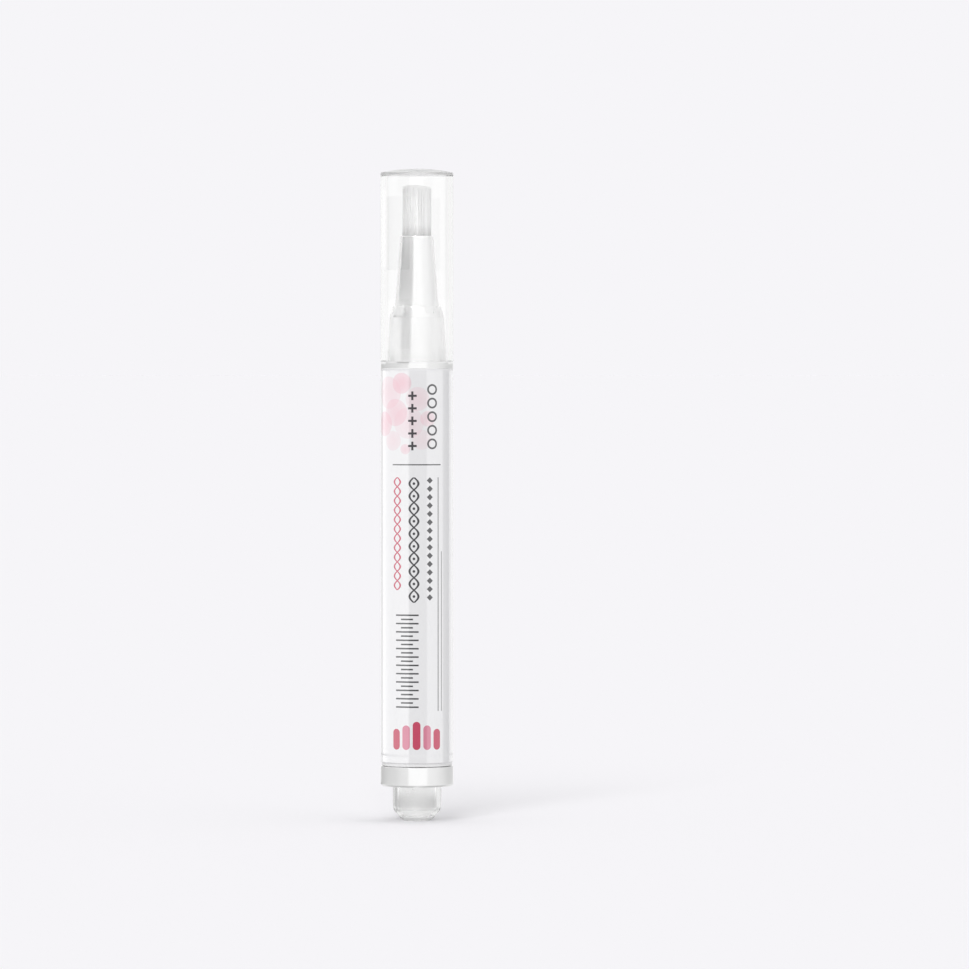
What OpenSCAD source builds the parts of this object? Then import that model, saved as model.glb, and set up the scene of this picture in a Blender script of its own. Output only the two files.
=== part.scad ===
// Click-type oil pen with a brush tip, standing on its push button.
// The origin is the centre of the button's flat foot, and +Z runs up the pen to the domed end of the cap.

/* [Barrel] */
// Outer diameter of the barrel, collar, ring and cap
barrel_d = 14; // [13:0.5:17]
// Wall of the barrel
barrel_wall = 1.2; // [0.9:0.1:1.5]
// Length of the satin ring between barrel and cap
ring_len = 1.3; // [0.8:0.1:3]
// Stroke of the piston from full to empty
stroke = 32; // [26:1:44]

/* [Button] */
// How far the button stands out of the end collar
button_out = 7; // [5.5:0.5:9]
// Wall of the clear button cover
button_wall = 1.1; // [0.8:0.1:1.4]
// Thickness of the cover's foot
foot_wall = 0.9; // [0.7:0.1:1.5]
// How far the rounded corner of the foot reaches inwards
foot_round = 1.9; // [1.4:0.1:2.4]
// How far the rounded corner of the foot reaches upwards
foot_rise = 2.2; // [1.6:0.1:3]
// Gap between the foot and the flat end of the core
core_stand = 1.4; // [0.8:0.1:2]
// Thickness of the core's closed end
core_end = 1.5; // [1:0.1:2]
// How far the button is pressed
press_travel = 2.1; // [1.6:0.1:2.8]

/* [End collar] */
// Length of the end collar
collar_len = 3.7; // [3:0.1:6]
// Thickness of the lip that traps the button
collar_lip = 1; // [0.7:0.1:1.5]
// Radius of the collar's lower edge
collar_edge = 0.4; // [0.2:0.1:0.6]
// Length of the groove between collar and barrel
reveal_len = 0.7; // [0.4:0.1:1.2]
// Depth of the groove between collar and barrel
reveal_depth = 0.25; // [0.1:0.05:0.5]
// Gap round the button where it slides through the collar
button_gap = 0.2; // [0.15:0.05:0.3]
// Overlap of the button's flange behind the collar's lip
flange_grip = 0.4; // [0.3:0.05:0.5]
// Thickness of the button's flange
flange_t = 0.8; // [0.6:0.1:1.2]
// Wall of the housing's tail inside the collar
tail_wall = 0.6; // [0.4:0.05:0.8]

/* [Click mechanism] */
// Wall of the mechanism housing
housing_wall = 0.85; // [0.7:0.05:1.1]
// Wire diameter of the return spring
return_wire = 0.5; // [0.4:0.05:0.6]
// Diameter of the button's core, as a share of the housing's bore
core_share = 0.7143; // [0.69:0.005:0.75]
// Installed length of the return spring
return_len = 10.1; // [8:0.1:14]
// Number of turns of the return spring
return_turns = 6; // [5:1:8]
// Length of the fixed cam below its teeth
cam_len = 6.8; // [6:0.1:9]
// Number of clicks in one turn of the rotor
click_teeth = 10; // [6:1:14]
// Height of the ratchet teeth
tooth_h = 0.8; // [0.5:0.1:1]
// Length of the ratchet rotor behind its teeth
rotor_len = 3.3; // [2.5:0.1:5]
// Wall of the drive sleeve
sleeve_wall = 0.6; // [0.5:0.05:0.75]
// Thickness of the drive sleeve's collar
sleeve_collar_t = 0.8; // [0.6:0.1:1.2]
// Length of the drive sleeve's two-flat mouth
grip_len = 5; // [3.5:0.5:7]
// Wire diameter of the rotor spring
rotor_wire = 0.4; // [0.3:0.05:0.5]
// Number of turns of the rotor spring
rotor_turns = 6; // [4:1:7]
// Height of the keys that stop the core from turning
key_h = 0.5; // [0.35:0.05:0.55]
// Width of those keys
key_w = 1.2; // [0.8:0.1:1.6]
// Number of those keys
key_count = 3; // [2:1:4]

/* [Screw rod] */
// Diameter of the rod over its thread, as a share of the core's
rod_share = 0.5714; // [0.5:0.01:0.62]
// Depth of the thread
thread_depth = 0.5; // [0.35:0.05:0.6]
// Advance of the rod in one turn
thread_lead = 2; // [1.6:0.1:2.6]
// Distance across the rod's two flats
rod_flats = 2.6; // [2.3:0.1:2.8]
// Plain length at the rear end of the rod
rod_tail = 1; // [0.5:0.1:2]
// Length of the nut
nut_len = 2.7; // [2.5:0.1:4]
// Width of the nut's thread lugs
lug_w = 0.8; // [0.5:0.1:1.1]
// Thickness of the nut's thread lugs
lug_t = 0.55; // [0.4:0.05:0.7]

/* [Piston] */
// Length of the piston
piston_len = 7.3; // [5.5:0.1:10]
// Gap between the piston's body and the bore
piston_gap = 0.35; // [0.2:0.05:0.5]
// Thickness of the piston's seal rings
seal_d = 1; // [0.8:0.1:1.2]
// Diameter of the rod's neck in the piston
neck_d = 2.2; // [1.8:0.1:2.4]
// Diameter of the rod's head in the piston
head_d = 3.2; // [2.8:0.1:3.6]
// Length of the neck
neck_len = 2; // [1.4:0.1:3]
// Length of the head
head_len = 1.8; // [1.2:0.1:2.2]

/* [Nozzle] */
// Length of the nozzle sleeve's plug inside ring and barrel
plug_len = 4.5; // [4:0.1:8]
// Wall of that plug
plug_wall = 0.95; // [0.8:0.05:1.1]
// Thickness of the plug's inner lip
plug_lip = 0.5; // [0.4:0.1:0.8]
// Gap between the nozzle's skirt and the inside of the cap
skirt_gap = 0.45; // [0.3:0.05:0.7]
// Length of the skirt up to the slope
skirt_len = 8.6; // [6:0.1:12]
// Narrowing of the skirt along its length
skirt_taper = 0.4; // [0.2:0.05:0.6]
// Height of the slope above the skirt
slope_len = 2.1; // [1.5:0.1:3]
// Narrowing of the slope
slope_in = 0.6; // [0.4:0.05:0.8]
// Width of the ledge round the tapered tip
ledge = 0.45; // [0.35:0.05:0.6]
// Depth of the small notches below the slope's upper rim
notch_len = 1.4; // [0.8:0.1:1.8]
// Width of those notches
notch_w = 1.8; // [1:0.1:2.4]
// Number of those notches
notch_count = 3; // [2:1:4]
// Thickness of the nozzle's seal ring
nozzle_seal_d = 0.6; // [0.5:0.05:0.7]
// Length of the tapered tip above the ledge
tip_len = 13.5; // [10:0.5:18]
// Wall of the tapered tip at its mouth
tip_wall = 0.3; // [0.25:0.05:0.4]
// Depth of the bristles' seat below the mouth
seat_depth = 5; // [4:0.5:7]
// Thickness of the flange at the tip's lower end
tip_flange_t = 1.5; // [1:0.1:2]
// Outer diameter of the delivery tube
tube_d = 1.8; // [1.5:0.1:2.1]
// Bore of the delivery tube
tube_bore = 1; // [0.7:0.1:1.1]
// How far the tube reaches into the visible bristles
tube_reach = 2.5; // [1:0.5:4]

/* [Brush] */
// Diameter of the bristle bundle
brush_d = 5.6; // [4.8:0.1:5.8]
// Visible length of the bristles
brush_len = 9.8; // [7:0.2:14]
// Number of bristles
bristle_count = 320; // [300:10:400]
// Thickness of one bristle
bristle_d = 0.19; // [0.14:0.01:0.19]
// How unevenly the bristles end
bristle_ragged = 0.5; // [0.2:0.1:1]
// How much lower one side of the bundle ends
bristle_slant = 0.35; // [0:0.05:0.8]
// Thickness of the slice that the bristles are fused to
backing_t = 1; // [0.6:0.1:1.5]

/* [Cap] */
// Wall of the cap
cap_wall = 0.9; // [0.7:0.05:1.1]
// Thickness of the cap's end at its middle
cap_end = 1.2; // [1:0.1:2]
// Height of the cap's domed end, from its middle down to its straight side
cap_dome = 1; // [0.8:0.1:1.1]
// Radius of the rounding at the edge of the cap's domed end
cap_edge = 0.6; // [0.4:0.1:0.7]
// Space between the bristles and the cap's ceiling
cap_space = 1.9; // [1:0.1:4]

/* [Fits] */
// Gap between pieces that are pressed together
press_gap = 0.05; // [0.03:0.01:0.08]
// Gap round pieces that run or slide in one another
run_gap = 0.1; // [0.08:0.01:0.12]
// Gap between pieces that must never touch
free_gap = 0.3; // [0.25:0.05:0.4]

/* [Hidden] */
$fn = 64;

// Shares of a length, chosen by hand
// Thread profile along one lead: end of the root, start and end of the crest
root_end_share = 0.5;
crest_start_share = 0.65;
crest_end_share = 0.85;
// Places of the two seal rings along the piston
seal_shares = [0.3, 0.78];
// Place of the O-ring along the nozzle's plug
nozzle_seal_share = 0.32;
// How far the foot's corner swells from a straight chamfer towards a full round
foot_swell_share = 0.2;
// Part of the foot's corner that the cover's bore narrows by
foot_inner_share = 0.6;
// Part of the housing's wall that the nut's seat is cut into
nut_seat_share = 0.33;
// Place of the tip's flange along the nozzle's skirt
tip_flange_share = 0.25;

// Counts
thread_sides = 12;
facets_per_tooth = 3;
wire_sides = 6;
wire_rings = 8;
golden_angle = 137.508;

// Radii from the barrel's skin inwards
barrel_r = barrel_d / 2;
bore_r = barrel_r - barrel_wall;
housing_r = bore_r - press_gap;
housing_bore_r = housing_r - housing_wall;
core_r = housing_bore_r * core_share;
return_mean_r = (core_r + housing_bore_r) / 2;
cover_bore_r = core_r + press_gap;
button_r = cover_bore_r + button_wall;
collar_hole_r = button_r + button_gap;
flange_r = collar_hole_r + flange_grip;
recess_r = flange_r + button_gap;
tail_r = recess_r + tail_wall;
rod_r = core_r * rod_share;
root_r = rod_r - thread_depth;
rod_flat_y = rod_flats / 2;
rod_clear_r = rod_r + free_gap;
sleeve_r = rod_clear_r + sleeve_wall;
rotor_r = housing_bore_r - free_gap;
key_r = core_r + key_h;
cam_r = housing_bore_r - press_gap;
nut_r = housing_bore_r + housing_wall * nut_seat_share;

// Heights from the foot upwards
collar_z = button_out;
flange_z = collar_z + collar_lip + run_gap;
flange_top = flange_z + flange_t;
recess_top = flange_top + press_travel + run_gap;
reveal_z = collar_z + collar_len;
barrel_z = reveal_z + reveal_len;
core_z = foot_wall + core_stand;
core_floor = core_z + core_end;
rod_z = core_floor + press_travel + 2 * free_gap + run_gap * 2;
cam_z = flange_top + return_len;
cam_top = cam_z + cam_len + tooth_h;
rotor_z = cam_top + free_gap;
rotor_root = rotor_z + tooth_h;
rotor_top = rotor_root + rotor_len;
core_top = rotor_z - free_gap - press_travel;
nut_z = rod_z + stroke + grip_len / 2;
sleeve_top = nut_z - free_gap;
grip_z = sleeve_top - grip_len;
nut_top = nut_z + nut_len;
housing_top = nut_top;
piston_z = nut_top + free_gap;
piston_top = piston_z + piston_len;
plug_z = piston_top + stroke + free_gap;
front_z = plug_z + plug_len;
ring_z = front_z - ring_len;
ledge_z = front_z + skirt_len + slope_len;
mouth_z = ledge_z + tip_len;
backing_z = mouth_z - seat_depth;
brush_top = mouth_z + brush_len;
ceiling_z = brush_top + cap_space;
cap_top = ceiling_z + cap_end;

// Radii of the nozzle and cap
cap_bore_r = barrel_r - cap_wall;
skirt_r = cap_bore_r - skirt_gap;
skirt_top_r = skirt_r - skirt_taper;
ledge_r = skirt_top_r - slope_in;
tip_base_r = ledge_r - ledge;
plug_r = bore_r - press_gap;
plug_bore_r = plug_r - plug_wall;
tip_flange_r = plug_bore_r - press_gap;
brush_r = brush_d / 2;
mouth_r = brush_r + press_gap;
tip_r = mouth_r + tip_wall;
tube_r = tube_d / 2;
tube_hole_r = tube_r + press_gap;
under_seat_r = brush_r - ledge;
crown_r = barrel_r - cap_edge;
crown_h = cap_dome - cap_edge;
dome_r = (crown_r * crown_r + crown_h * crown_h) / (2 * crown_h);

// Places that follow from both
tip_flange_z = front_z + skirt_len * tip_flange_share;
plug_body_z = plug_z + plug_lip;
tube_z = plug_body_z + plug_lip;
tube_top = mouth_z + tube_reach;
rod_top = piston_z - run_gap;
thread_z = rod_z + rod_tail;
thread_turns = floor((rod_top - thread_z) / thread_lead);
head_z = rod_top + neck_len;
head_top = head_z + head_len;
overrun = barrel_wall;

echo(str("rod advance per click, mm: ", thread_lead / click_teeth));
echo(str("turns over the stroke: ", stroke / thread_lead));
echo(str("oil volume, ml: ", PI * bore_r * bore_r * stroke / 1000));
echo(str("overall height, mm: ", cap_top));
echo(str("thread turns: ", thread_turns));

// A ring from radius r_in to r_out and from height z0 to z1
module ring(r_in, r_out, z0, z1) {
    rotate_extrude()
        translate([r_in, z0])
            square([r_out - r_in, z1 - z0]);
}

// A round bar of radius r with two flats at +-half_flat in Y, from z0 to z1
module flatted_bar(r, half_flat, z0, z1) {
    translate([0, 0, z0])
        linear_extrude(z1 - z0)
            intersection() {
                circle(r);
                square([4 * r, 2 * half_flat], center = true);
            }
}

// A crown of saw teeth, sunk a little into the ring that carries it at z0. Its ramps fall with the angle,
// seen from above. With down = true it hangs below z0, and its ramps lie along those of a crown under it
module crown(r_in, r_out, z0, h, down = false) {
    n = click_teeth;
    m = facets_per_tooth;
    step = 360 / (n * m);
    low_r = (r_in + press_gap) / cos(step / 2);
    high_r = r_out - press_gap;
    bottom = [
        for (a = [0:n * m - 1], r = [low_r, high_r])
            [r * cos(a * step), r * sin(a * step), -h / m]
    ];
    top = [
        for (i = [0:n - 1], j = [0:m], r = [low_r, high_r])
            [r * cos((i * m + j) * step), r * sin((i * m + j) * step), h * (1 - j / m)]
    ];
    faces = [
        for (i = [0:n - 1], j = [0:m - 1])
            let (
                a = 2 * (i * m + j),
                b = (a + 2) % (2 * n * m),
                t = 2 * n * m + 2 * (i * (m + 1) + j),
                u = t + 2,
                l = 2 * n * m + 2 * ((i + n - 1) % n * (m + 1) + m)
            )
                each concat(
                    [[a, a + 1, b + 1], [a, b + 1, b], [t, u + 1, t + 1], [t, u, u + 1]],
                    [[a + 1, u + 1, b + 1], [a, b, u]],
                    j > 0 ? [[a + 1, t + 1, u + 1], [a, u, t]]
                        : [
                            [a + 1, l + 1, u + 1], [l + 1, t + 1, u + 1], [a, u, l], [l, u, t],
                            [l, t, t + 1], [l, t + 1, l + 1]
                        ]
                )
    ];
    translate([0, 0, z0])
        rotate([down ? 180 : 0, 0, 0])
            polyhedron(points = concat(bottom, top), faces = faces);
}

// A round wire wound into an open compression spring from z0 to z1, as one unbroken tube
module coil(mean_r, wire, turns, z0, z1) {
    wire_r = wire / 2;
    steps = turns * wire_rings;
    low = z0 + wire_r + run_gap;
    high = z1 - wire_r - run_gap;
    pitch = (high - low) / turns;
    lean = atan(pitch / (2 * PI * mean_r));
    points = [
        for (i = [0:steps], k = [0:wire_sides - 1])
            let (
                turn = i * 360 / wire_rings,
                side = k * 360 / wire_sides,
                out = wire_r * cos(side),
                up = wire_r * sin(side)
            )
                [
                    (mean_r + out) * cos(turn) + up * sin(lean) * sin(turn),
                    (mean_r + out) * sin(turn) - up * sin(lean) * cos(turn),
                    low + (high - low) * i / steps + up * cos(lean)
                ]
    ];
    sides = [
        for (i = [0:steps - 1], k = [0:wire_sides - 1])
            let (
                a = i * wire_sides + k,
                b = i * wire_sides + (k + 1) % wire_sides,
                c = a + wire_sides,
                d = b + wire_sides
            )
                each [[a, c, b], [b, c, d]]
    ];
    first = [for (k = [1:wire_sides - 2]) [0, k, k + 1]];
    last = [for (k = [1:wire_sides - 2]) let (e = steps * wire_sides) [e, e + k + 1, e + k]];
    echo(str("spring gap between turns, mm: ", pitch - wire));
    polyhedron(points = points, faces = concat(sides, first, last));
}

// One point of the rod's skin at an angle, radius and height, held inside the two flats
function on_rod(turn, r, z) = [
    r * cos(turn), max(-rod_flat_y, min(rod_flat_y, r * sin(turn))), z
];

// The threaded bar: a helical strip of root and crest lines between two flat ends
module threaded_bar(z0, z1) {
    n = thread_sides;
    turns = thread_turns;
    last = n * turns;
    profile = [[root_r, 0], [root_r, root_end_share], [rod_r, crest_start_share], [rod_r, crest_end_share]];
    m = len(profile);
    helix = [
        for (t = [0:last], k = [0:m - 1])
            on_rod(t * 360 / n, profile[k][0], thread_z + thread_lead * (t / n + profile[k][1]))
    ];
    low_ring = [for (i = [0:n - 1]) on_rod(i * 360 / n, root_r, z0)];
    high_ring = [for (i = [0:n - 1]) on_rod(i * 360 / n, root_r, z1)];
    low = len(helix);
    high = low + n;
    end = last - n;
    strip = [
        for (t = [0:end - 1], k = [0:m - 1])
            let (
                a = m * t + k,
                b = m * (t + 1) + k,
                c = k < m - 1 ? a + 1 : m * (t + n),
                d = k < m - 1 ? b + 1 : m * (t + 1 + n)
            )
                each [[a, c, b], [b, c, d]]
    ];
    low_sides = [
        for (i = [0:n - 2])
            each [[low + i, m * (i + 1), low + i + 1], [low + i, m * i, m * (i + 1)]]
    ];
    corner = m * (n - 1);
    low_seam = [
        [corner, low, low + n - 1], [corner, 0, low], [corner, 1, 0], [corner, m * n, 1],
        [1, m * n, 2], [2, m * n, m - 1]
    ];
    top = m * end;
    high_sides = [
        for (i = [1:n - 1])
            let (j = (i + 1) % n)
                each [[top + m * i, high + i, top + m * (i + 1)], [top + m * (i + 1), high + i, high + j]]
    ];
    high_seam = [
        [top + m, high, high + 1], [top + m, m * last, high], [top + m, top + 1, m * last],
        [top + m, top, top + 1], [top + 1, top + 2, m * last], [top + 2, top + m - 1, m * last]
    ];
    low_end = [for (i = [1:n - 2]) [low, low + i, low + i + 1]];
    high_end = [for (i = [1:n - 2]) [high, high + i + 1, high + i]];
    polyhedron(
        points = concat(helix, low_ring, high_ring),
        faces = concat(strip, low_sides, low_seam, high_sides, high_seam, low_end, high_end)
    );
}

// A share of the foot's corner at an angle, between a straight chamfer and a full round
function foot_blend(round_share, a) = foot_swell_share * round_share + (1 - foot_swell_share) * a / 90;

module button_cover() {
    corner_r = button_r - foot_round;
    color("whitesmoke", 0.5)
        rotate_extrude()
            difference() {
                union() {
                    intersection() {
                        square([button_r, flange_top]);
                        union() {
                            translate([0, foot_rise])
                                square([button_r, flange_top]);
                            polygon([
                                [0, 0],
                                for (a = [0:15:90])
                                    [
                                        corner_r + foot_round * foot_blend(sin(a), a),
                                        foot_rise * foot_blend(1 - cos(a), a)
                                    ],
                                [0, foot_rise]
                            ]);
                        }
                    }
                    translate([0, flange_z])
                        square([flange_r, flange_t]);
                }
                polygon([
                    [0, foot_wall],
                    [cover_bore_r - foot_round * foot_inner_share, foot_wall],
                    [cover_bore_r, foot_rise],
                    [cover_bore_r, flange_top + overrun],
                    [0, flange_top + overrun]
                ]);
            }
}

module button_core() {
    key_z = cam_z + free_gap * 2;
    key_in = rod_clear_r + thread_depth;
    color("white") {
        ring(0, core_r, core_z, core_floor);
        ring(rod_clear_r, core_r, core_floor, core_top - tooth_h);
        crown(rod_clear_r, core_r, core_top - tooth_h, tooth_h);
        for (i = [0:key_count - 1])
            rotate([0, 0, i * 360 / key_count])
                translate([key_in, -key_w / 2, key_z])
                    cube([key_r - key_in, key_w, core_top - tooth_h * 2 - key_z]);
    }
}

module return_spring() {
    color("silver")
        coil(return_mean_r, return_wire, return_turns, flange_top, cam_z);
}

module end_collar() {
    color("gainsboro")
        rotate_extrude()
            polygon([
                [collar_hole_r, collar_z],
                for (a = [0:15:90])
                    [barrel_r - collar_edge * (1 - sin(a)), collar_z + collar_edge * (1 - cos(a))],
                [barrel_r, reveal_z],
                [tail_r + press_gap, reveal_z],
                [tail_r + press_gap, collar_z + collar_lip],
                [collar_hole_r, collar_z + collar_lip]
            ]);
}

module rear_housing() {
    color("whitesmoke")
        rotate_extrude()
            polygon([
                [recess_r, collar_z + collar_lip],
                [tail_r, collar_z + collar_lip],
                [tail_r, reveal_z],
                [barrel_r - reveal_depth, reveal_z],
                [barrel_r - reveal_depth, barrel_z],
                [housing_r, barrel_z],
                [housing_r, housing_top],
                [nut_r + press_gap, housing_top],
                [nut_r + press_gap, nut_z],
                [housing_bore_r, nut_z],
                [housing_bore_r, recess_top],
                [recess_r, recess_top]
            ]);
}

module fixed_cam() {
    color("lightsteelblue") {
        difference() {
            ring(core_r + run_gap, cam_r, cam_z, cam_top - tooth_h);
            for (i = [0:key_count - 1])
                rotate([0, 0, i * 360 / key_count])
                    translate([0, -key_w / 2 - run_gap, cam_z - overrun])
                        cube([key_r + run_gap, key_w + 2 * run_gap, cam_len + 2 * overrun]);
        }
        crown(key_r + run_gap, cam_r, cam_top - tooth_h, tooth_h);
    }
}

module ratchet_rotor() {
    socket_r = sleeve_r + press_gap;
    color("lightsteelblue") {
        difference() {
            ring(0, rotor_r, rotor_root, rotor_top);
            flatted_bar(socket_r, socket_r - sleeve_wall / 2, rotor_root - overrun, rotor_top + overrun);
        }
        crown(socket_r, rotor_r, rotor_root, tooth_h, down = true);
    }
}

module drive_sleeve() {
    color("white")
        difference() {
            union() {
                flatted_bar(sleeve_r, sleeve_r - sleeve_wall / 2, rotor_root, rotor_top);
                ring(0, rotor_r, rotor_top, rotor_top + sleeve_collar_t);
                ring(0, sleeve_r, rotor_top + sleeve_collar_t, sleeve_top);
            }
            ring(0, rod_clear_r, rotor_root - overrun, grip_z);
            flatted_bar(rod_r + run_gap, rod_flat_y + run_gap, grip_z - overrun, sleeve_top + overrun);
        }
}

module rotor_spring() {
    low = rotor_top + sleeve_collar_t;
    color("silver")
        coil((sleeve_r + housing_bore_r) / 2, rotor_wire, rotor_turns, low, nut_z);
}

module screw_rod() {
    color("white") {
        threaded_bar(rod_z, rod_top);
        rotate_extrude()
            polygon([
                [0, rod_top - run_gap],
                [neck_d / 2, rod_top - run_gap],
                [neck_d / 2, head_z],
                [head_d / 2, head_z],
                [neck_d / 2, head_top],
                [0, head_top]
            ]);
    }
}

// One thread lug of the nut at an angle, on the rod's groove nearest the nut's middle
module thread_lug(turn) {
    groove = root_end_share / 2 + turn / 360;
    count = round((nut_z + nut_len / 2 - thread_z) / thread_lead - groove);
    z = thread_z + thread_lead * (count + groove);
    lean = atan(thread_lead / (2 * PI * rod_r));
    tip_r = root_r + run_gap + press_gap;
    rotate([0, 0, turn])
        translate([tip_r, 0, z])
            rotate([lean, 0, 0])
                translate([0, -lug_w / 2, -lug_t / 2])
                    cube([rod_clear_r + thread_depth - tip_r, lug_w, lug_t]);
}

module screw_nut() {
    color("lightsteelblue") {
        ring(rod_r + run_gap * 2, nut_r, nut_z, nut_top);
        thread_lug(0);
        thread_lug(180);
    }
}

module piston() {
    body_r = bore_r - piston_gap;
    groove_r = bore_r - seal_d - 2 * press_gap;
    color("white")
        difference() {
            rotate_extrude()
                polygon([
                    [0, piston_z],
                    [body_r - seal_d / 2, piston_z],
                    [body_r, piston_z + seal_d / 2],
                    [body_r, piston_top - seal_d / 2],
                    [body_r - seal_d / 2, piston_top],
                    [0, piston_top]
                ]);
            rotate_extrude()
                polygon([
                    [0, piston_z - overrun],
                    [neck_d / 2 + run_gap, piston_z - overrun],
                    [neck_d / 2 + run_gap, head_z - run_gap],
                    [head_d / 2 + run_gap, head_z - run_gap],
                    [head_d / 2 + run_gap, head_top + run_gap],
                    [0, head_top + run_gap]
                ]);
            for (share = seal_shares)
                let (mid = piston_z + piston_len * share, half = seal_d / 2 + press_gap)
                    ring(groove_r, bore_r, mid - half, mid + half);
        }
}

module piston_seals() {
    color("dimgray")
        for (share = seal_shares)
            rotate_extrude()
                translate([bore_r - press_gap - seal_d / 2, piston_z + piston_len * share])
                    circle(seal_d / 2);
}

module barrel() {
    color("white")
        ring(bore_r, barrel_r, barrel_z, ring_z);
}

module front_ring() {
    color("gainsboro")
        ring(bore_r, barrel_r, ring_z, front_z);
}

module nozzle_sleeve() {
    groove_r = bore_r - nozzle_seal_d - 2 * press_gap;
    groove_mid = plug_z + plug_len * nozzle_seal_share;
    groove_half = nozzle_seal_d / 2 + press_gap;
    color("white")
        difference() {
            rotate_extrude()
                polygon([
                    [plug_bore_r - plug_lip, plug_z],
                    [plug_r - plug_lip / 2, plug_z],
                    [plug_r, plug_z + plug_lip],
                    [plug_r, front_z],
                    [skirt_r, front_z],
                    [skirt_top_r, front_z + skirt_len],
                    [ledge_r, ledge_z - press_gap],
                    [ledge_r - press_gap, ledge_z],
                    [tip_base_r + press_gap, ledge_z],
                    [tip_base_r + press_gap, tip_flange_z + tip_flange_t],
                    [plug_bore_r, tip_flange_z + tip_flange_t],
                    [plug_bore_r, plug_z + plug_lip],
                    [plug_bore_r - plug_lip, plug_z + plug_lip]
                ]);
            ring(groove_r, barrel_r, groove_mid - groove_half, groove_mid + groove_half);
            for (i = [0:notch_count - 1])
                rotate([0, 0, 180 + i * 360 / notch_count])
                    translate([ledge_r - press_gap, -notch_w / 2, ledge_z - notch_len])
                        cube([barrel_r, notch_w, notch_len + overrun]);
        }
}

module nozzle_seal() {
    color("dimgray")
        rotate_extrude()
            translate([bore_r - press_gap - nozzle_seal_d / 2, plug_z + plug_len * nozzle_seal_share])
                circle(nozzle_seal_d / 2);
}

module tube_plug() {
    color("lightsteelblue")
        rotate_extrude()
            polygon([
                [tube_hole_r, plug_body_z],
                [plug_bore_r - press_gap, plug_body_z],
                [plug_bore_r - press_gap, tip_flange_z],
                [plug_bore_r - plug_wall, tip_flange_z],
                [plug_bore_r - plug_wall, plug_body_z + plug_wall * 2],
                [tube_hole_r, plug_body_z + plug_wall * 2]
            ]);
}

module delivery_tube() {
    color("whitesmoke")
        ring(tube_bore / 2, tube_r, tube_z, tube_top);
}

module brush_holder() {
    color("white")
        rotate_extrude()
            polygon([
                [tip_base_r - plug_wall, tip_flange_z],
                [tip_flange_r, tip_flange_z],
                [tip_flange_r, tip_flange_z + tip_flange_t - press_gap],
                [tip_base_r, tip_flange_z + tip_flange_t - press_gap],
                [tip_base_r, ledge_z],
                [tip_r, mouth_z - tip_wall],
                for (a = [15:15:90])
                    [mouth_r + tip_wall * cos(a), mouth_z - tip_wall + tip_wall * sin(a)],
                [mouth_r, backing_z - press_gap],
                [under_seat_r, backing_z - press_gap],
                [under_seat_r, ledge_z],
                [tip_base_r - plug_wall, ledge_z - plug_wall]
            ]);
}

module brush_bristles() {
    strand_r = bristle_d / 2;
    inner_r = tube_hole_r + strand_r;
    outer_r = brush_r - strand_r;
    color("gainsboro")
        union() {
            ring(tube_hole_r, brush_r, backing_z, backing_z + backing_t);
            for (i = [0:bristle_count - 1])
                let (
                    share = (i + 0.5) / bristle_count,
                    r = sqrt(inner_r * inner_r + (outer_r * outer_r - inner_r * inner_r) * share),
                    turn = i * golden_angle,
                    x = r * cos(turn),
                    uneven = bristle_ragged * abs(sin(i * i * golden_angle)),
                    drop = uneven + bristle_slant * (0.5 + x / brush_d)
                )
                    translate([x, r * sin(turn), backing_z + backing_t / 2])
                        rotate([0, 0, turn])
                            linear_extrude(brush_top - drop - backing_z - backing_t / 2)
                                circle(strand_r, $fn = 3);
        }
}

module cap_shell() {
    color("aliceblue", 0.3)
        rotate_extrude()
            difference() {
                intersection() {
                    union() {
                        translate([0, front_z])
                            square([barrel_r, cap_top - cap_dome - front_z]);
                        translate([0, front_z])
                            square([crown_r, cap_top - front_z]);
                        translate([crown_r, cap_top - cap_dome])
                            circle(cap_edge, $fn = 60);
                    }
                    translate([0, cap_top - dome_r])
                        circle(dome_r, $fn = 360);
                }
                translate([0, front_z - overrun])
                    square([cap_bore_r, ceiling_z - front_z + overrun]);
            }
}

button_cover();
button_core();
return_spring();
end_collar();
rear_housing();
fixed_cam();
ratchet_rotor();
drive_sleeve();
rotor_spring();
screw_rod();
screw_nut();
piston();
piston_seals();
barrel();
front_ring();
nozzle_sleeve();
nozzle_seal();
tube_plug();
delivery_tube();
brush_holder();
brush_bristles();
cap_shell();
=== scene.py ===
# Click-type oil pen that stands on its push button, dressed for a plain studio picture.
import math
import random

import bmesh
import bpy
from mathutils import Matrix, Vector


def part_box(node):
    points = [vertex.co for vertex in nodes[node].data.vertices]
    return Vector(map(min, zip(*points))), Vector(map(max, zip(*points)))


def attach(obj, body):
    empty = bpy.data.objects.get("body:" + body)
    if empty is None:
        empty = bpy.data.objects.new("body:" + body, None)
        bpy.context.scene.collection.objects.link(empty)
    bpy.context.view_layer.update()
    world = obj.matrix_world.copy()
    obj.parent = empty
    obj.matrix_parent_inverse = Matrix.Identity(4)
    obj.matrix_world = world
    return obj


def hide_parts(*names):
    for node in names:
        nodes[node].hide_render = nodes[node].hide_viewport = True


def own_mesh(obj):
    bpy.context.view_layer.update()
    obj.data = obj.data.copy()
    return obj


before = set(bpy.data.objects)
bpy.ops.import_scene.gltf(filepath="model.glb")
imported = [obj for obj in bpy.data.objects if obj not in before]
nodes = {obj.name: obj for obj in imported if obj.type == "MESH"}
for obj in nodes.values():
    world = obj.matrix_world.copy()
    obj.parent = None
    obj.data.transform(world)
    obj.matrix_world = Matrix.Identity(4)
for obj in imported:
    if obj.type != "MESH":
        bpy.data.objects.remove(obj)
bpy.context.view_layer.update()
mm = 0.001
degree = math.pi / 180

scene = bpy.context.scene
scene.view_settings.view_transform = "Standard"
print("frame loaded:", len(nodes), "nodes")


noiseRough = 0.55  # how strongly the finer layers of every noise show


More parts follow.
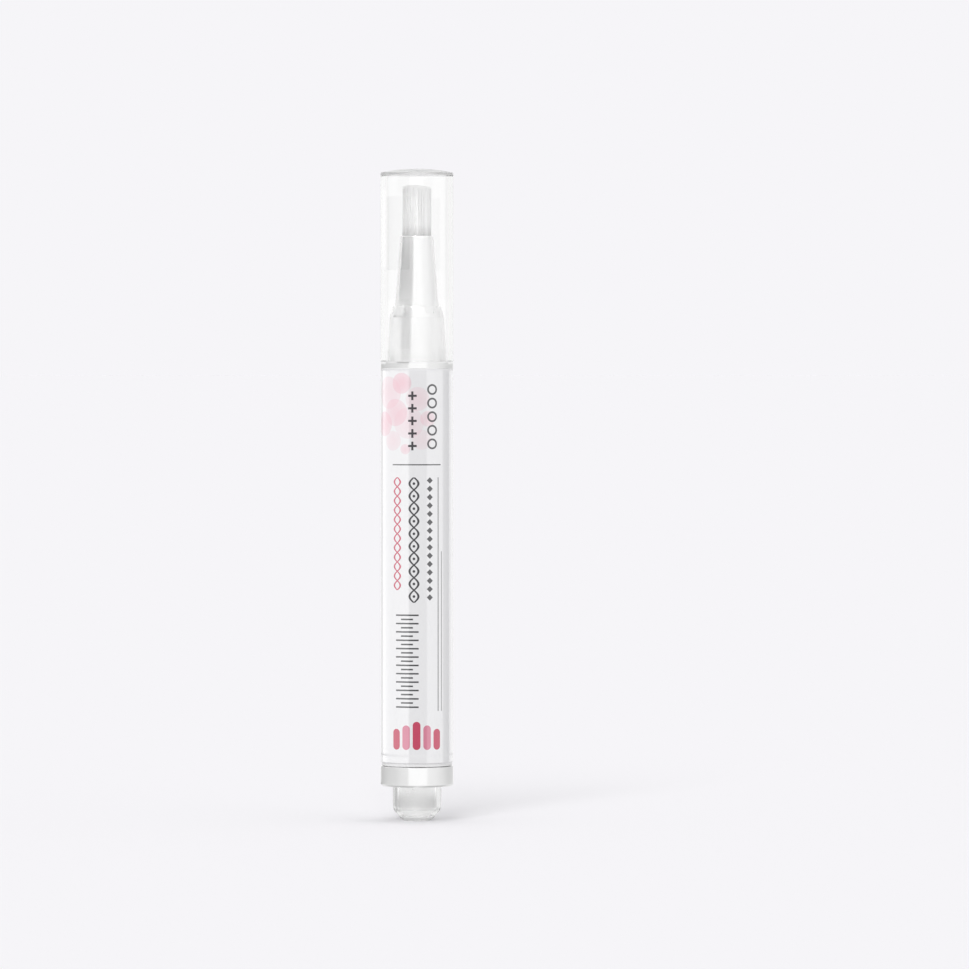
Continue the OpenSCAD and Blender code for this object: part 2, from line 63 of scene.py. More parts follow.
class Wire:
    # a shader socket, so that a pattern can be written as a sum
    def __init__(self, finish, socket):
        self.finish = finish
        self.socket = socket

    def __add__(self, other):
        return self.finish.math("ADD", self, other)

    def __radd__(self, other):
        return self.finish.math("ADD", other, self)

    def __sub__(self, other):
        return self.finish.math("SUBTRACT", self, other)

    def __rsub__(self, other):
        return self.finish.math("SUBTRACT", other, self)

    def __mul__(self, other):
        return self.finish.math("MULTIPLY", self, other)

    def __truediv__(self, other):
        return self.finish.math("DIVIDE", self, other)

    def __abs__(self):
        return self.finish.math("ABSOLUTE", self)

    def __or__(self, other):
        return self.finish.math("MAXIMUM", self, other)

    def __and__(self, other):
        return self.finish.math("MINIMUM", self, other)


class Finish:
    # a node tree with short ways to add nodes: a material's, or the world's
    def __init__(self, tree):
        self.tree = tree
        self.tree.nodes.clear()

    def add(self, kind, settings=None, sockets=None):
        node = self.tree.nodes.new(kind)
        for key, value in (settings or {}).items():
            if key == "stops":
                stops = node.color_ramp.elements
                while len(stops) < len(value):
                    stops.new(1.0)
                for stop, (position, colour) in zip(stops, value):
                    stop.position = position
                    stop.color = colour
            else:
                setattr(node, key, value)
        for key, value in (sockets or {}).items():
            if isinstance(value, Wire):
                self.tree.links.new(value.socket, node.inputs[key])
            else:
                node.inputs[key].default_value = value
        return node

    def math(self, operation, *values):
        node = self.add("ShaderNodeMath", {"operation": operation}, dict(enumerate(values)))
        return Wire(self, node.outputs[0])

    def ease(self, value, low, high):
        # 0 below low, 1 above high, smooth in between
        node = self.add(
            "ShaderNodeMapRange", {"interpolation_type": "SMOOTHSTEP"},
            {"Value": value, "From Min": low, "From Max": high},
        )
        return Wire(self, node.outputs[0])

    def inside(self, distance, edge):
        # 1 where a signed distance is under zero, with a soft edge
        return 1 - self.ease(distance, -edge / 2, edge / 2)

    def mix(self, mask, under, over):
        node = self.add("ShaderNodeMix", {"data_type": "RGBA"}, {0: mask, 6: under, 7: over})
        return Wire(self, node.outputs[2])

    def place(self, stretch=(1, 1, 1)):
        # Object coordinates, stretched
        coordinates = Wire(self, self.add("ShaderNodeTexCoord").outputs["Object"])
        node = self.add("ShaderNodeMapping", None, {"Vector": coordinates, "Scale": stretch})
        return Wire(self, node.outputs[0])

    def noise(self, size, detail=2.0, stretch=(1, 1, 1)):
        # grain of about that size, in metres, round 0.5
        node = self.add(
            "ShaderNodeTexNoise", None,
            {"Vector": self.place(stretch), "Scale": 1 / size, "Detail": detail, "Roughness": noiseRough},
        )
        return Wire(self, node.outputs[0])

    def bump(self, height, depth, strength=1.0):
        node = self.add(
            "ShaderNodeBump", None, {"Height": height, "Distance": depth, "Strength": strength}
        )
        return Wire(self, node.outputs[0])


def material(name):
    made = bpy.data.materials.new(name)
    made.use_nodes = True
    finish = Finish(made.node_tree)
    shader = finish.add("ShaderNodeBsdfPrincipled")
    finish.add("ShaderNodeOutputMaterial", None, {"Surface": Wire(finish, shader.outputs[0])})
    finish.shader = shader
    finish.material = made
    return finish


def feed(finish, **sockets):
    # sets or links the principled shader's sockets, named without their spaces
    names = {socket.name.replace(" ", ""): socket for socket in finish.shader.inputs}
    for key, value in sockets.items():
        if isinstance(value, Wire):
            finish.tree.links.new(value.socket, names[key])
        else:
            names[key].default_value = value
    return finish.material


def grey(value, alpha=1.0):
    return (value, value, value, alpha)


# Camera: far back and almost level, so that the pen's rims curve only a little
cameraSet = {
    "place": (0.0130, -1.2170, 0.0883),
    "target": (0.0130, 0.0, 0.0647),
    "lens": 235.1,
    "sensor": 36.0,
    "near": 0.01,
    "far": 100,
}


def makeCamera(s):
    data = bpy.data.cameras.new("camera")
    data.lens = s["lens"]
    data.sensor_width = s["sensor"]
    data.clip_start = s["near"]
    data.clip_end = s["far"]
    camera = bpy.data.objects.new("camera", data)
    scene.collection.objects.link(camera)
    camera.location = s["place"]
    direction = Vector(s["target"]) - Vector(s["place"])
    camera.rotation_mode = "QUATERNION"
    camera.rotation_quaternion = direction.to_track_quat("-Z", "Y")
    scene.camera = camera


makeCamera(cameraSet)
print("camera placed")


def addPiece(name, bm):
    mesh = bpy.data.meshes.new(name)
    bm.to_mesh(mesh)
    bm.free()
    piece = bpy.data.objects.new(name, mesh)
    scene.collection.objects.link(piece)
    return piece


def shade(bm, sharpFrom=35 * degree):
    # smooth faces, with sharp edges from that angle on
    for face in bm.faces:
        face.smooth = True
    for edge in bm.edges:
        edge.smooth = len(edge.link_faces) == 2 and edge.calc_face_angle(0.0) < sharpFrom


onAxis = 1e-9  # a radius under this is on the axis
weld = 1e-7  # points closer than this become one


def turned(name, outline, steps=192, roundSteps=4):
    # a body of revolution; outline goes round the cut section as (radius, height, rounding)
    bm = bmesh.new()
    corners = [bm.verts.new((radius, 0, height)) for radius, height, rounding in outline]
    bm.faces.new(corners)
    for rounding in sorted({corner[2] for corner in outline} - {0}):
        chosen = [vert for vert, corner in zip(corners, outline) if corner[2] == rounding]
        bmesh.ops.bevel(
            bm, geom=chosen, offset=rounding, offset_type="OFFSET", segments=roundSteps,
            profile=0.5, affect="VERTICES", clamp_overlap=True, material=-1,
        )
    bmesh.ops.delete(bm, geom=bm.faces[:], context="FACES_ONLY")
    for edge in bm.edges[:]:
        # an edge on the axis sweeps no face
        if all(vert.co.x < onAxis for vert in edge.verts):
            bm.edges.remove(edge)
    bmesh.ops.spin(
        bm, geom=bm.verts[:] + bm.edges[:], cent=(0, 0, 0), axis=(0, 0, 1),
        angle=2 * math.pi, steps=steps, use_merge=True,
    )
    bmesh.ops.remove_doubles(bm, verts=bm.verts[:], dist=weld)
    bmesh.ops.recalc_face_normals(bm, faces=bm.faces[:])
    shade(bm)
    return addPiece(name, bm)


def settle(piece):
    # applies the piece's modifiers to its mesh
    evaluated = piece.evaluated_get(bpy.context.evaluated_depsgraph_get())
    mesh = bpy.data.meshes.new_from_object(evaluated)
    piece.modifiers.clear()
    piece.data = mesh


def keepFlatsFlat(piece):
    modifier = piece.modifiers.new("Flat faces", "WEIGHTED_NORMAL")
    modifier.keep_sharp = True


def dress(piece, body, slot, paint, *replaced):
    piece.data.materials.clear()
    piece.data.materials.append(paint)
    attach(piece, body)
    if replaced:
        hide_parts(*replaced)
    return piece


def repaint(node, paint):
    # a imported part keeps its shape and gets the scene's material
    mesh = nodes[node].data
    mesh.materials.clear()
    mesh.materials.append(paint)


# Sizes that several pieces share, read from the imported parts
barrelLow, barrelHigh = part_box("barrel")
barrelRadius = barrelHigh.x
ringLow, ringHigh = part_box("front_ring")
collarLow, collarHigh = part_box("end_collar")
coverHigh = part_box("button_cover")[1]
sleeveLow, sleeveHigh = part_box("nozzle_sleeve")
holderLow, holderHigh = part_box("brush_holder")
brushLow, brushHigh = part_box("brush_bristles")
capLow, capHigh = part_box("cap_shell")
sealGap = 0.05 * mm  # between the piston's rings and the barrel's bore
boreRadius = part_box("piston_seals")[1].x + sealGap


# Printed glossy barrel: a generic design of discs, rings, crosses, twisted cords, lozenges, rungs and bars.
# Places across and heights are in mm, as on the unrolled barrel.
printSet = {
    "paper": (0.745, 0.745, 0.75, 1),
    "blush": (0.74, 0.40, 0.47, 1),
    "rose": (0.50, 0.060, 0.115, 1),
    "roseLight": (0.60, 0.21, 0.29, 1),
    "ink": (0.020, 0.020, 0.024, 1),
    "edge": 0.05,
    "inkShows": 0.94,
    "discFade": {"from": 1.4, "to": 0.1, "share": 0.45},
    "discs": [
        # place round the barrel, height, radius, strength
        (-6.2, 82.4, 3.1, 0.42),
        (-3.0, 84.2, 2.0, 0.66),
        (-4.4, 78.6, 2.6, 0.55),
        (0.2, 81.2, 2.3, 0.34),
        (-1.6, 76.6, 3.0, 0.30),
        (-7.6, 76.4, 2.4, 0.66),
        (2.2, 77.4, 1.5, 0.42),
        (-5.0, 73.2, 1.9, 0.34),
        (1.0, 73.4, 1.9, 0.24),
        (-2.2, 71.6, 1.0, 0.48),
    ],
    "rings": {"across": 3.1, "low": 72.6, "high": 83.0, "pitch": 2.6, "radius": 0.86, "line": 0.36},
    "cord": {
        "across": -0.5, "swing": 0.86, "pitch": 4.8, "line": 0.42, "low": 42.2, "high": 66.2, "bead": 0.52,
    },
    "cordRose": {"across": -3.9, "swing": 0.66, "pitch": 3.6, "line": 0.36, "low": 44.6, "high": 66.2},
    "crosses": {"across": -0.8, "low": 72.2, "high": 81.8, "pitch": 2.4, "arm": 0.84, "line": 0.42},
    "lozenges": {"across": 2.6, "low": 43.2, "high": 65.6, "pitch": 1.6, "half": 0.62},
    "pinstripes": [
        # place across, low, high, line
        (4.4, 21.4, 66.2, 0.17), (5.2, 21.4, 52.0, 0.13),
    ],
    "rules": [
        # height, left, right, line
        (68.6, -5.0, 5.0, 0.22),
    ],
    "rungs": {
        "across": -1.9, "low": 22.2, "high": 39.8, "pitch": 1.6, "wide": 2.3, "narrow": 1.2, "line": 0.30,
    },
    "bars": {"across": 0.0, "pitch": 2.05, "count": 5, "low": 14.0, "width": 1.5, "tall": 5.4, "step": 0.7},
    "backStripes": {"insets": [1.2, 1.7], "line": 0.12, "low": 21.4, "high": 66.2},
    "rough": 0.12, "inkRough": 0.1, "peelRough": 0.04, "peel": 1.6 * mm, "peelDeep": 0.004 * mm,
    "coat": 0.6, "coatRough": 0.06,
}


def printedGloss(s):
    finish = material("printed_gloss")
    split = finish.add("ShaderNodeSeparateXYZ", None, {0: finish.place()})
    x, y, z = (Wire(finish, socket) for socket in split.outputs)
    around = finish.math("ARCTAN2", x, y * -1) * (barrelRadius / mm)
    height = z / mm
    edge = s["edge"]

    def bar(value, low, high):
        return finish.inside(abs(value - (low + high) / 2) - (high - low) / 2, edge)

    def line(value, width):
        return finish.inside(abs(value) - width / 2, edge)

    def away(across, up):
        return finish.math("SQRT", across * across + up * up)

    def waves(cord):
        turn = (height - cord["low"]) * (2 * math.pi / cord["pitch"])
        swing = finish.math("SINE", turn) * cord["swing"]
        lines = [line(around - cord["across"] - swing * side, cord["line"]) for side in (-1, 1)]
        return (lines[0] | lines[1]) * bar(height, cord["low"], cord["high"])

    def row(pitch, low):
        # height above the nearest place in a row that climbs the barrel
        along = (height - low) / pitch
        return (along - finish.math("ROUND", along)) * pitch

    def between(spots):
        # the stretch of a row with whole motifs only
        return bar(height, spots["low"] - spots["pitch"] / 2, spots["high"] + spots["pitch"] / 2)

    colour = s["paper"]
    fading = s["discFade"]
    for across, up, radius, strength in s["discs"]:
        distance = away(around - across, height - up)
        fade = finish.ease(distance, radius * fading["from"], radius * fading["to"])
        fade = fade * fading["share"] + (1 - fading["share"])
        disc = finish.inside(distance - radius, edge * 2) * fade * strength
        colour = finish.mix(disc, colour, s["blush"])
    cord = s["cord"]
    beadRow = row(cord["pitch"] / 2, cord["low"] + cord["pitch"] / 4)
    bead = away(around - cord["across"], beadRow) - cord["bead"] / 2
    ink = waves(cord) | (finish.inside(bead, edge) * bar(height, cord["low"], cord["high"]))
    rings = s["rings"]
    hoop = away(around - rings["across"], row(rings["pitch"], rings["low"])) - rings["radius"]
    ink = ink | (line(hoop, rings["line"]) * between(rings))
    crosses = s["crosses"]
    side = abs(around - crosses["across"])
    up = abs(row(crosses["pitch"], crosses["low"]))
    shorter = (side & up) - crosses["line"] / 2
    longer = (side | up) - crosses["arm"]
    ink = ink | (finish.inside(shorter, edge) * finish.inside(longer, edge) * between(crosses))
    lozenges = s["lozenges"]
    lozenge = abs(around - lozenges["across"]) + abs(row(lozenges["pitch"], lozenges["low"]))
    ink = ink | (finish.inside(lozenge - lozenges["half"], edge) * between(lozenges))
    rungs = s["rungs"]
    wide = bar(around, rungs["across"] - rungs["wide"], rungs["across"] + rungs["wide"])
    narrow = bar(around, rungs["across"] - rungs["narrow"], rungs["across"] + rungs["narrow"])
    wideRungs = wide * line(row(rungs["pitch"], rungs["low"]), rungs["line"])
    narrowRungs = narrow * line(row(rungs["pitch"], rungs["low"] + rungs["pitch"] / 2), rungs["line"])
    narrowRungs = narrowRungs * bar(height, rungs["low"], rungs["high"])
    ink = ink | (wideRungs * between(rungs)) | narrowRungs
    for across, low, high, width in s["pinstripes"]:
        ink = ink | (bar(around, across - width / 2, across + width / 2) * bar(height, low, high))
    for up, left, right, width in s["rules"]:
        ink = ink | (bar(around, left, right) * bar(height, up - width / 2, up + width / 2))
    back = s["backStripes"]
    fromBack = abs(around) - math.pi * barrelRadius / mm
    for inset in back["insets"]:
        ink = ink | (line(fromBack + inset, back["line"]) * bar(height, back["low"], back["high"]))
    colour = finish.mix(ink * s["inkShows"], colour, s["ink"])
    colour = finish.mix(waves(s["cordRose"]), colour, s["rose"])
    bars = s["bars"]
    for i in range(bars["count"]):
        fromMiddle = i - (bars["count"] - 1) / 2
        tall = bars["tall"] - abs(fromMiddle) * bars["step"]
        upwards = abs(height - bars["low"] - tall / 2) - (tall - bars["width"]) / 2
        shape = away(around - bars["across"] - fromMiddle * bars["pitch"], upwards | 0) - bars["width"] / 2
        tint = s["rose"] if i % 2 == 0 else s["roseLight"]
        colour = finish.mix(finish.inside(shape, edge), colour, tint)
    peel = finish.noise(s["peel"])
    return feed(
        finish, BaseColor=colour, Roughness=s["rough"] + ink * s["inkRough"] + peel * s["peelRough"],
        CoatWeight=s["coat"], CoatRoughness=s["coatRough"], Normal=finish.bump(peel, s["peelDeep"]),
    )


# Moulded white plastics: brightness, roughness and how far they shine like pearl
whiteSet = {
    "cloud": 3.0 * mm, "peel": 0.5 * mm, "peelDeep": 0.002 * mm, "vary": 0.015, "cloudRough": 0.05,
    "kinds": {
        "white_plastic": (0.92, 0.2, 0.0),
        "pearl_plastic": (0.91, 0.14, 0.5),
        # a lighter copy of the white plastic with a strong pearl reflection: painted light for the button
        # core in the collar's shade
        "brightened_pearl_core": (0.96, 0.24, 0.8),
        # a darker copy of the white plastic: painted shade for the groove between barrel and end collar
        "soft_white": (0.76, 0.5, 0.0),
    },
}


def whitePlastic(name, s):
    colour, rough, pearl = s["kinds"][name]
    finish = material(name)
    cloud = finish.noise(s["cloud"], 3.0)
    peel = finish.noise(s["peel"])
    tint = finish.mix(cloud, grey(colour * (1 - s["vary"])), grey(min(1.0, colour * (1 + s["vary"]))))
    return feed(
        finish, BaseColor=tint, Metallic=pearl, Roughness=rough + cloud * s["cloudRough"],
        Normal=finish.bump(peel, s["peelDeep"]),
    )


# Clear plastics: clear at the one height, and frosted with its own tint from the other
clearSet = {
    "index": 1.49, "haze": 4.0 * mm, "hazeRough": 0.02,
    "kinds": {
        "clear_cap": {
            "rough": 0.0, "tint": 0.99, "frostTint": 0.95, "frost": 0.3,
            "clearAt": capHigh.z - 1.45 * mm, "frostAt": capHigh.z - 1.25 * mm,
        },
        "clear_button": {
            "rough": 0.04, "tint": 0.99, "frostTint": 0.99, "frost": 0.8,
            "clearAt": 1.0 * mm, "frostAt": 0.5 * mm,
        },
    },
}


def clearPlastic(name, s):
    kind = s["kinds"][name]
    finish = material(name)
    haze = finish.noise(s["haze"], 3.0)
    split = finish.add("ShaderNodeSeparateXYZ", None, {0: finish.place()})
    frosted = finish.ease(Wire(finish, split.outputs[2]), kind["clearAt"], kind["frostAt"])
    return feed(
        finish, BaseColor=finish.mix(frosted, grey(kind["tint"]), grey(kind["frostTint"])),
        TransmissionWeight=1.0, IOR=s["index"],
        Roughness=kind["rough"] + haze * s["hazeRough"] + frosted * kind["frost"],
    )


# Satin metal of the ring and the collar, with faint lines round them
metalSet = {
    "lines": 0.5 * mm, "stretch": 14, "linesDeep": 0.001 * mm, "cloud": 2.5 * mm,
    "dark": 0.88, "light": 0.92, "rough": 0.14, "linesRough": 0.06,
}


def satinMetal(s):
    finish = material("satin_metal")
    lines = finish.noise(s["lines"], 3.0, (1, 1, s["stretch"]))
    cloud = finish.noise(s["cloud"])
    tint = finish.mix(cloud, grey(s["dark"]), grey(s["light"]))
    return feed(
        finish, BaseColor=tint, Metallic=1.0, Roughness=s["rough"] + lines * s["linesRough"],
        Normal=finish.bump(lines, s["linesDeep"]),
    )


# Drawn wire of the springs
wireSet = {"drawn": 0.15 * mm, "dark": 0.42, "light": 0.56, "rough": 0.22, "drawnRough": 0.12}


def springSteel(s):
    finish = material("spring_steel")
    drawn = finish.noise(s["drawn"], 3.0)
    tint = finish.mix(drawn, grey(s["dark"]), grey(s["light"]))
    return feed(finish, BaseColor=tint, Metallic=1.0, Roughness=s["rough"] + drawn * s["drawnRough"])


# Natural plastic of the mechanism
naturalSet = {
    "cloud": 1.8 * mm, "grain": 0.12 * mm, "grainDeep": 0.003 * mm,
    "dark": (0.74, 0.74, 0.70, 1), "light": (0.82, 0.82, 0.79, 1), "rough": 0.38, "cloudRough": 0.1,
}


def naturalPlastic(s):
    finish = material("natural_plastic")
    cloud = finish.noise(s["cloud"], 4.0)
    grain = finish.noise(s["grain"])
    return feed(
        finish, BaseColor=finish.mix(cloud, s["dark"], s["light"]),
        Roughness=s["rough"] + cloud * s["cloudRough"], Normal=finish.bump(grain, s["grainDeep"]),
    )


# Black rubber of the seals
rubberSet = {"dust": 0.4 * mm, "dark": 0.012, "light": 0.03, "rough": 0.42, "dustRough": 0.2}


def sealRubber(s):
    finish = material("seal_rubber")
    dust = finish.noise(s["dust"], 4.0)
    tint = finish.mix(dust, grey(s["dark"]), grey(s["light"]))
    return feed(finish, BaseColor=tint, Roughness=s["rough"] + dust * s["dustRough"])


# Bristles: streaked along their length, with painted shade near the root where they go into the holder
nylonSet = {
    "strand": 0.35 * mm, "stretch": 0.02, "dark": 0.86, "light": 0.92, "root": 0.64,
    "rootLow": -1.0 * mm, "rootHigh": 2.5 * mm, "rough": 0.6, "strandRough": 0.2, "specular": 0.15,
}


def bristleNylon(s):
    finish = material("bristle")
    split = finish.add("ShaderNodeSeparateXYZ", None, {0: finish.place()})
    height = Wire(finish, split.outputs[2])
    strands = finish.noise(s["strand"], 2.0, (1, 1, s["stretch"]))
    # painted shade: the bristles darken to the root colour just above the holder's mouth
    climb = finish.ease(height, holderHigh.z + s["rootLow"], holderHigh.z + s["rootHigh"])
    base = finish.mix(strands, grey(s["dark"]), grey(s["light"]))
    return feed(
        finish, BaseColor=finish.mix(climb, grey(s["root"]), base),
        Roughness=s["rough"] + strands * s["strandRough"], SpecularIORLevel=s["specular"],
    )


paints = {
    "printed_gloss": printedGloss(printSet),
    **{name: whitePlastic(name, whiteSet) for name in whiteSet["kinds"]},
    **{name: clearPlastic(name, clearSet) for name in clearSet["kinds"]},
    "satin_metal": satinMetal(metalSet),
    "spring_steel": springSteel(wireSet),
    "natural_plastic": naturalPlastic(naturalSet),
    "seal_rubber": sealRubber(rubberSet),
    "bristle": bristleNylon(nylonSet),
}
print("materials made:", len(paints))


# Barrel tube, from its rear end to the front ring
barrelSet = {"rim": 0.06 * mm, "innerRim": 0.1 * mm}


def makeBarrel(s):
    piece = turned("barrel_tube", [
        (barrelRadius, barrelLow.z, s["rim"]),
        (barrelRadius, barrelHigh.z, s["rim"]),
        (boreRadius, barrelHigh.z, s["innerRim"]),
        (boreRadius, barrelLow.z, s["innerRim"]),
    ])
    keepFlatsFlat(piece)
    dress(piece, "barrel", "printed_gloss", paints["printed_gloss"], "barrel")


makeBarrel(barrelSet)


# Satin ring in front of the barrel
ringSet = {"rim": 0.02 * mm}


def makeRing(s):
    piece = turned("satin_front_ring", [
        (barrelRadius, ringLow.z, s["rim"]),
        (barrelRadius, ringHigh.z, s["rim"]),
        (boreRadius, ringHigh.z, 0),
        (boreRadius, ringLow.z, 0),
    ])
    keepFlatsFlat(piece)
    dress(piece, "barrel", "satin_metal", paints["satin_metal"], "front_ring")


makeRing(ringSet)


# Clear cover of the push button, the pen's foot
coverSet = {
    "flangeReach": 0.6 * mm, "flange": 0.8 * mm, "footReach": 1.9 * mm, "footRise": 2.2 * mm,
    "footEdge": 0.7 * mm, "sideEdge": 0.8 * mm, "floor": 0.9 * mm, "innerReach": 1.14 * mm,
    "innerEdge": 0.3 * mm, "bore": 3.55 * mm, "rim": 0.1 * mm,
}
coverRadius = coverHigh.x - coverSet["flangeReach"]


def makeCover(s):
    bore = s["bore"]
    piece = turned("clear_button_cover", [
        (0, 0, 0),
        (coverRadius - s["footReach"], 0, s["footEdge"]),
        (coverRadius, s["footRise"], s["sideEdge"]),
        (coverRadius, coverHigh.z - s["flange"], s["rim"]),
        (coverHigh.x, coverHigh.z - s["flange"], s["rim"]),
        (coverHigh.x, coverHigh.z, s["rim"]),
        (bore, coverHigh.z, s["rim"]),
        (bore, s["footRise"], s["innerEdge"]),
        (bore - s["innerReach"], s["floor"], s["innerEdge"]),
        (0, s["floor"], 0),
    ], roundSteps=6)
    keepFlatsFlat(piece)
    dress(piece, "button", "clear_plastic", paints["clear_button"], "button_cover")
    piece.visible_shadow = False


# Satin end collar, with the lip round the button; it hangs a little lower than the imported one
collarSet = {
    "chamfer": 0.35 * mm, "rise": 0.1 * mm, "drop": 0.25 * mm, "edge": 0.06 * mm, "rim": 0.04 * mm,
    "gap": 0.12 * mm, "lip": 1.0 * mm, "lipEdge": 0.1 * mm, "wall": 0.85 * mm, "hole": 0.2 * mm,
}


def makeCollar(s):
    hole = coverRadius + s["hole"]
    bore = barrelRadius - s["wall"]
    piece = turned("satin_end_collar", [
        (hole, collarLow.z - s["drop"], s["lipEdge"]),
        (barrelRadius - s["chamfer"], collarLow.z - s["drop"], s["edge"]),
        (barrelRadius, collarLow.z + s["rise"], s["edge"]),
        (barrelRadius, collarHigh.z - s["gap"], s["rim"]),
        (bore, collarHigh.z - s["gap"], 0),
        (bore, collarLow.z + s["lip"], 0),
        (hole, collarLow.z + s["lip"], s["lipEdge"]),
    ])
    keepFlatsFlat(piece)
    dress(piece, "barrel", "satin_metal", paints["satin_metal"], "end_collar")


makeCollar(collarSet)
makeCover(coverSet)
print("barrel, ring, collar and button cover made")


# Nozzle sleeve: plug in the barrel, long skirt, short slope and ledge, with notches below the rim
sleeveSet = {
    "plugLip": 0.5 * mm, "plugWall": 0.95 * mm, "skirt": 5.65 * mm, "skirtTop": 5.25 * mm,
    "slope": 2.1 * mm, "rim": 4.65 * mm, "tipBore": 4.25 * mm, "shoulder": 91.95 * mm,
    "grooveLow": 84.89 * mm, "grooveHigh": 85.59 * mm, "groove": 5.1 * mm, "corner": 0.12 * mm,
    "notches": 3, "notchDeep": 1.4 * mm, "notchWide": 1.8 * mm, "notchFloor": 4.6 * mm,
    "notchLong": 2.0 * mm,
}


def makeSleeve(s):
    plug = sleeveHigh.x
    bore = plug - s["plugWall"]
    piece = turned("white_nozzle_sleeve", [
        (bore - s["plugLip"], sleeveLow.z, 0),
        (plug - s["plugLip"] / 2, sleeveLow.z, 0),
        (plug, sleeveLow.z + s["plugLip"], 0),
        (plug, s["grooveLow"], 0),
        (s["groove"], s["grooveLow"], 0),
        (s["groove"], s["grooveHigh"], 0),
        (plug, s["grooveHigh"], 0),
        (plug, capLow.z, 0),
        (s["skirt"], capLow.z, 0),
        (s["skirtTop"], sleeveHigh.z - s["slope"], s["corner"]),
        (s["rim"], sleeveHigh.z, s["corner"]),
        (s["tipBore"], sleeveHigh.z, 0),
        (s["tipBore"], s["shoulder"], 0),
        (bore, s["shoulder"], 0),
        (bore, sleeveLow.z + s["plugLip"], 0),
        (bore - s["plugLip"], sleeveLow.z + s["plugLip"], 0),
    ])
    cutters = []
    for i in range(s["notches"]):
        # a block that reaches out from the notch's floor and down from the rim
        bm = bmesh.new()
        bmesh.ops.create_cube(bm, size=1)
        bmesh.ops.scale(bm, vec=(s["notchLong"], s["notchWide"], 2 * s["notchDeep"]), verts=bm.verts[:])
        middle = s["notchFloor"] + s["notchLong"] / 2
        bmesh.ops.translate(bm, vec=(middle, 0, sleeveHigh.z), verts=bm.verts[:])
        turn = Matrix.Rotation(math.pi + i * 2 * math.pi / s["notches"], 3, "Z")
        bmesh.ops.rotate(bm, cent=(0, 0, 0), matrix=turn, verts=bm.verts[:])
        cutters.append(addPiece("notch_cutter", bm))
    for cutter in cutters:
        modifier = piece.modifiers.new("Notch", "BOOLEAN")
        modifier.operation = "DIFFERENCE"
        modifier.solver = "EXACT"
        modifier.object = cutter
    settle(piece)
    for cutter in cutters:
        bpy.data.objects.remove(cutter)
    keepFlatsFlat(piece)
    dress(piece, "barrel", "white_plastic", paints["pearl_plastic"], "nozzle_sleeve")


makeSleeve(sleeveSet)


# Tapered tip that holds the bristles
holderSet = {
    "base": 4.2 * mm, "tip": 3.15 * mm, "mouth": 2.85 * mm, "under": 2.35 * mm, "bore": 3.25 * mm,
    "flangeTop": 91.9 * mm, "ledge": 99.0 * mm, "seat": 107.45 * mm, "rim": 0.28 * mm,
    "mouthRim": 0.06 * mm, "slope": 0.9 * mm,
}


def makeHolder(s):
    piece = turned("white_brush_holder", [
        (s["bore"], holderLow.z, 0),
        (holderHigh.x, holderLow.z, 0),
        (holderHigh.x, s["flangeTop"], 0),
        (s["base"], s["flangeTop"], 0),
        (s["base"], s["ledge"], 0),
        (s["tip"], holderHigh.z, s["rim"]),
        (s["mouth"], holderHigh.z, s["mouthRim"]),
        (s["mouth"], s["seat"], 0),
        (s["under"], s["seat"], 0),
        (s["under"], s["ledge"], 0),
        (s["bore"], s["ledge"] - s["slope"], 0),
    ])
    keepFlatsFlat(piece)
    dress(piece, "barrel", "white_plastic", paints["pearl_plastic"], "brush_holder")


makeHolder(holderSet)


# Bristles: a full round bundle with a soft, uneven end
brushSet = {
    "count": 1500, "radius": 0.08 * mm, "tip": 0.45, "sides": 4, "rings": 6, "bundle": 2.72 * mm,
    "seed": 7, "swirl": 0.3, "lean": 0.05 * mm, "splay": 0.02, "splayLeast": -0.4,
    "ragged": 0.5 * mm, "dome": 0.35 * mm, "slant": 0.25 * mm,
    "core": 2.45 * mm, "coreShort": 1.0 * mm, "coreSides": 48,
}


def strandMesh(s):
    # one strand of unit height that narrows to its tip
    bm = bmesh.new()
    ring = bmesh.ops.create_circle(bm, cap_ends=False, segments=s["sides"], radius=s["radius"])["verts"]
    for step in range(s["rings"]):
        edges = [edge for edge in bm.edges if all(vert in ring for vert in edge.verts)]
        grown = bmesh.ops.extrude_edge_only(bm, edges=edges)["geom"]
        ring = [item for item in grown if isinstance(item, bmesh.types.BMVert)]
        bmesh.ops.translate(bm, vec=(0, 0, 1 / s["rings"]), verts=ring)
    bmesh.ops.scale(bm, vec=(s["tip"], s["tip"], 1), space=Matrix.Translation((0, 0, -1)), verts=ring)
    bmesh.ops.contextual_create(bm, geom=ring)
    mesh = bpy.data.meshes.new("strand")
    bm.to_mesh(mesh)
    bm.free()
    return mesh


